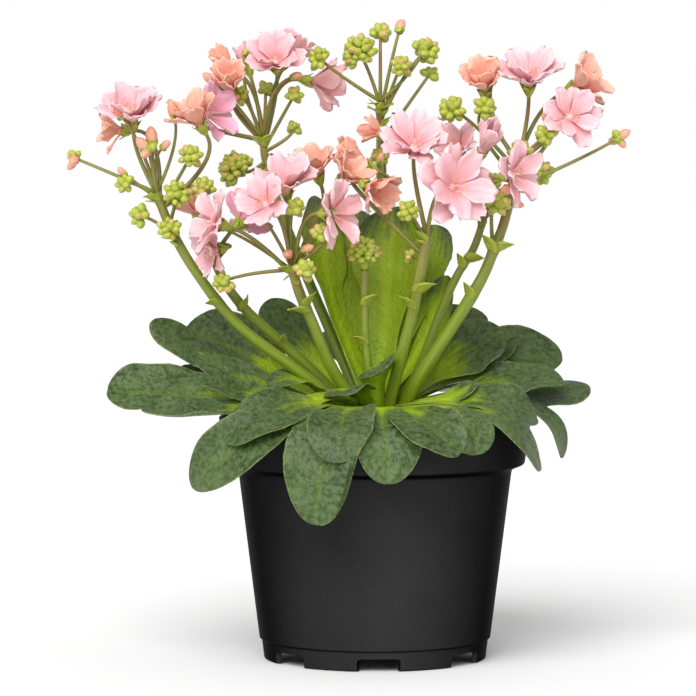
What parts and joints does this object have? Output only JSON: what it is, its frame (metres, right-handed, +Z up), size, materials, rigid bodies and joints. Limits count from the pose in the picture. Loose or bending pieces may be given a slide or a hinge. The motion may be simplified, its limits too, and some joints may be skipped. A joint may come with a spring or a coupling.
{
  "type": "potted lewisia",
  "caption": "Flowering lewisia plant with a rosette of thick leaves and branched stems of pink blooms in a round tapered nursery pot.",
  "frame": {"origin": "middle of the pot's underside, on the small foot in its centre", "axes": "+Z up along the pot's axis, +X to the right of the plant as the picture shows it, -Y towards the picture's camera"},
  "size_m": [0.2158, 0.163, 0.2465],
  "materials": {
    "pot": "thin moulded black plastic with a soft sheen",
    "soil": null,
    "leaf": null,
    "stem": "smooth fleshy stem with a low gloss, stood in by leather",
    "petal": "soft thin petals, stood in by leather"
  },
  "bodies": {
    "root": {"pot": "pot", "soil": "soil", "leaf_rosette": "leaf", "flower_stem_far_left": "stem", "flower_stem_left": "stem", "flower_stem_rear_left": "stem", "flower_stem_front_left": "stem", "flower_stem_rear_middle": "stem", "flower_stem_middle": "stem", "flower_stem_front_right": "stem", "flower_stem_right": "stem", "flower_stem_far_right": "stem", "bloom_01": "petal", "bloom_02": "petal", "bloom_03": "petal", "bloom_04": "petal", "bloom_05": "petal", "bloom_06": "petal", "bloom_07": "petal", "bloom_08": "petal", "bloom_09": "petal", "bloom_10": "petal", "bloom_11": "petal", "bloom_12": "petal", "bloom_13": "petal", "bloom_14": "petal", "bloom_15": "petal", "bloom_16": "petal", "bloom_17": "petal", "bloom_18": "petal", "bloom_19": "petal", "bloom_20": "petal", "bloom_21": "petal", "bloom_22": "petal", "bloom_23": "petal", "bloom_24": "petal", "bloom_25": "petal", "bloom_26": "petal", "bloom_27": "petal", "bloom_28": "petal", "bloom_29": "petal", "bloom_30": "petal", "bloom_31": "petal"}
  },
  "joints": []
}
